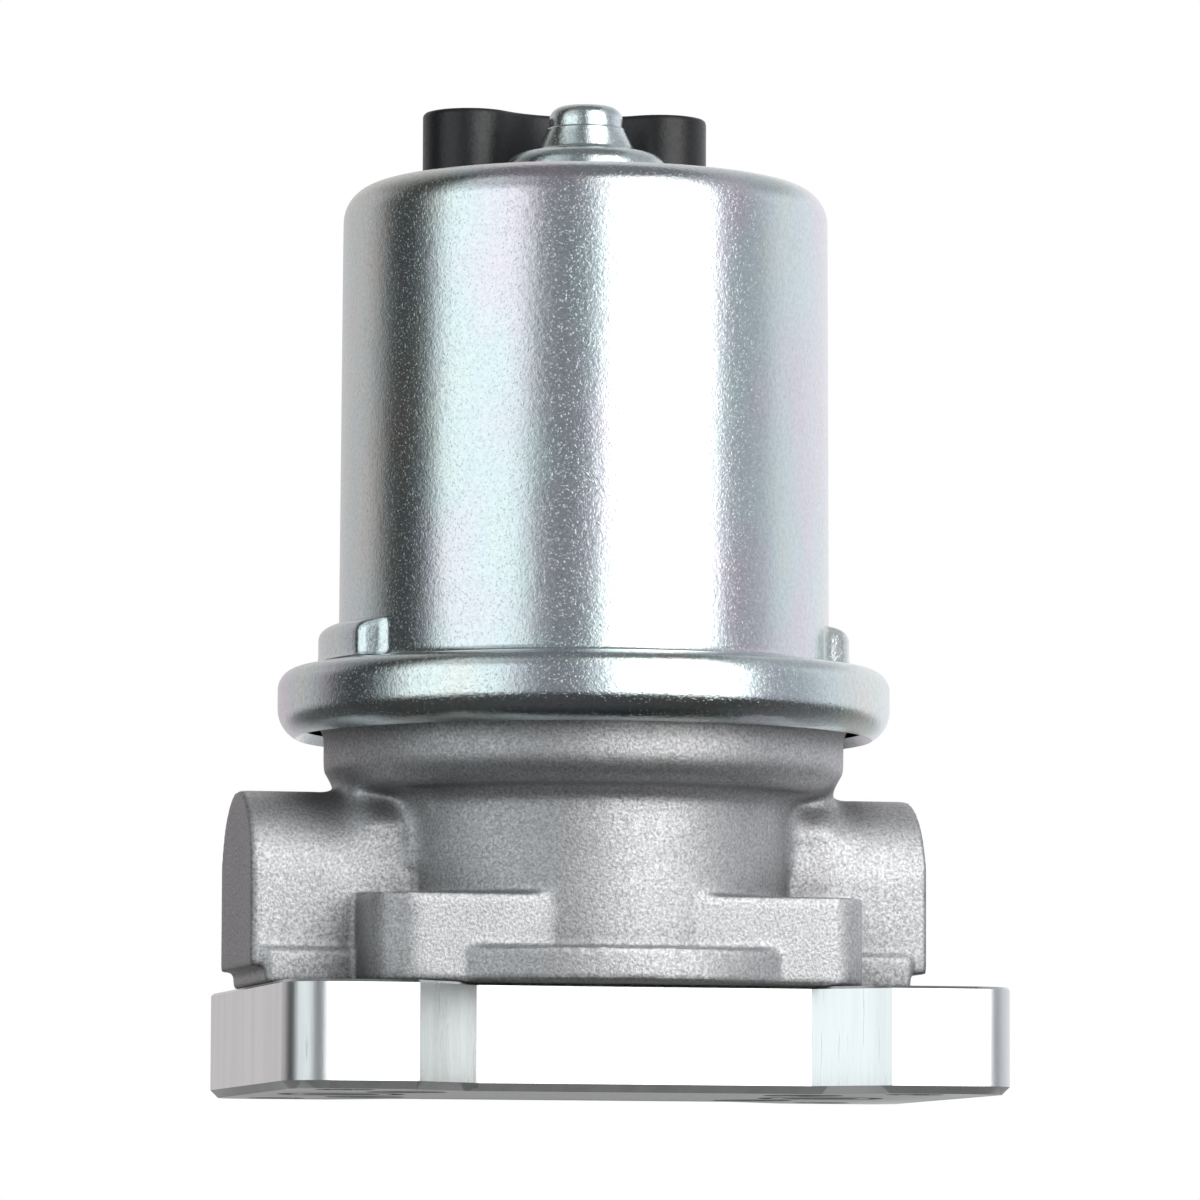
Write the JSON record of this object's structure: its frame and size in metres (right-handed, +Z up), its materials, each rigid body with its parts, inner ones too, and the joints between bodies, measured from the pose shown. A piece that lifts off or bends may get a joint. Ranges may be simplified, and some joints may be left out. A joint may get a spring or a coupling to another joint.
{
  "type": "electric fuel pump",
  "caption": "Electric fuel transfer pump: plated motor can on a cast body with side bosses, bolted to a thick adapter plate, two-socket connector on top.",
  "frame": {"origin": "the point on the motor axis at the underside of the adapter plate", "axes": "+Z up along the motor axis, +X along the adapter plate towards its longer side, +Y towards the connector"},
  "size_m": [0.0861, 0.0716, 0.1168],
  "materials": {
    "machined_aluminium": "milled faces with fine tool marks",
    "cast_aluminium": "shot-blasted die casting",
    "zinc_plated_steel": "bright zinc plate with a faint coloured tint over fine orange peel",
    "connector_plastic": "fine matt glass-filled plastic",
    "ring_rubber": "smooth moulded rubber",
    "seal_silicone": "soft moulded silicone",
    "screw_steel": "dark zinc flake",
    "ground_steel": "fine ground",
    "sintered_steel": "dull sintered",
    "core_steel": "stacked sheets",
    "spring_steel": "drawn wire and strip",
    "bearing_bronze": "oiled sintered bronze",
    "sheet_brass": "bright stamped",
    "tinned_brass": "tin plate",
    "bar_copper": "turned copper",
    "copper_wire": "enamelled copper wire",
    "ferrite": "ground ferrite ceramic",
    "carbon": "pressed carbon",
    "card_plastic": "glass-filled plastic",
    "insulating_plastic": "moulded insulator",
    "white_plastic": "smooth washer plastic",
    "valve_plastic": "smooth fuel-proof plastic",
    "felt": "oiled felt"
  },
  "bodies": {
    "housing": {"adapter_plate": "machined_aluminium", "port_o_rings": "ring_rubber", "joint_o_rings": "ring_rubber", "plate_screws": "screw_steel", "pump_body": "cast_aluminium", "pump_cover": "ground_steel", "lower_bush": "bearing_bronze", "seal_case": "spring_steel", "seal_lip": "ring_rubber", "thrust_washers": "white_plastic", "motor_can": "zinc_plated_steel", "can_o_ring": "ring_rubber", "magnet_left": "ferrite", "magnet_right": "ferrite", "magnet_clips": "spring_steel", "brush_card": "card_plastic", "brush_tubes": "sheet_brass", "terminal_straps": "sheet_brass", "brush_spring_left": "spring_steel", "brush_spring_right": "spring_steel", "brush_lead_left": "copper_wire", "brush_lead_right": "copper_wire", "upper_bearing": "bearing_bronze", "bearing_retainer": "spring_steel", "oil_wick": "felt", "connector_housing": "connector_plastic", "connector_seals": "seal_silicone", "terminal_pins": "tinned_brass", "check_seat": "sheet_brass", "check_spring": "spring_steel", "check_retainer": "sheet_brass", "relief_spring": "spring_steel", "relief_plug": "sheet_brass"},
    "rotor": {"inner_rotor": "sintered_steel", "drive_pin": "ground_steel", "motor_shaft": "ground_steel", "armature_core": "core_steel", "core_insulators": "insulating_plastic", "armature_winding": "copper_wire", "commutator_hub": "insulating_plastic", "commutator_bars": "bar_copper"},
    "outer_rotor_body": {"outer_rotor": "sintered_steel"},
    "check_valve": {"check_poppet": "valve_plastic"},
    "relief_valve": {"relief_piston": "ground_steel"},
    "brush_left_body": {"brush_left": "carbon"},
    "brush_right_body": {"brush_right": "carbon"}
  },
  "joints": [
    {"name": "rotor_spin", "type": "hinge", "parent": "housing", "child": "rotor", "pos_m": [0, 0, 0], "axis": [0, 0, 1], "continuous": true},
    {"name": "outer_rotor_spin", "type": "hinge", "parent": "housing", "child": "outer_rotor_body", "pos_m": [0, 0.0016, 0], "axis": [0, 0, 1], "continuous": true},
    {"name": "check_valve_lift", "type": "slide", "parent": "housing", "child": "check_valve", "axis": [0, 0, -1], "range_m": [0, 0.0018], "stiffness_N_per_m": 150, "springref_m": -0.003, "deforming": ["check_spring"]},
    {"name": "relief_valve_lift", "type": "slide", "parent": "housing", "child": "relief_valve", "axis": [0, 0, 1], "range_m": [0, 0.0014], "stiffness_N_per_m": 600, "springref_m": -0.003, "deforming": ["relief_spring"]},
    {"name": "brush_left_slide", "type": "slide", "parent": "housing", "child": "brush_left_body", "axis": [0, 0, 1], "range_m": [0, 0.0024], "stiffness_N_per_m": 200, "springref_m": -0.004, "deforming": ["brush_spring_left", "brush_lead_left"]},
    {"name": "brush_right_slide", "type": "slide", "parent": "housing", "child": "brush_right_body", "axis": [0, 0, 1], "range_m": [0, 0.0024], "stiffness_N_per_m": 200, "springref_m": -0.004, "deforming": ["brush_spring_right", "brush_lead_right"]}
  ],
  "couplings": [
    {"joint": "outer_rotor_spin", "follows": "rotor_spin", "ratio": 0.85714}
  ]
}
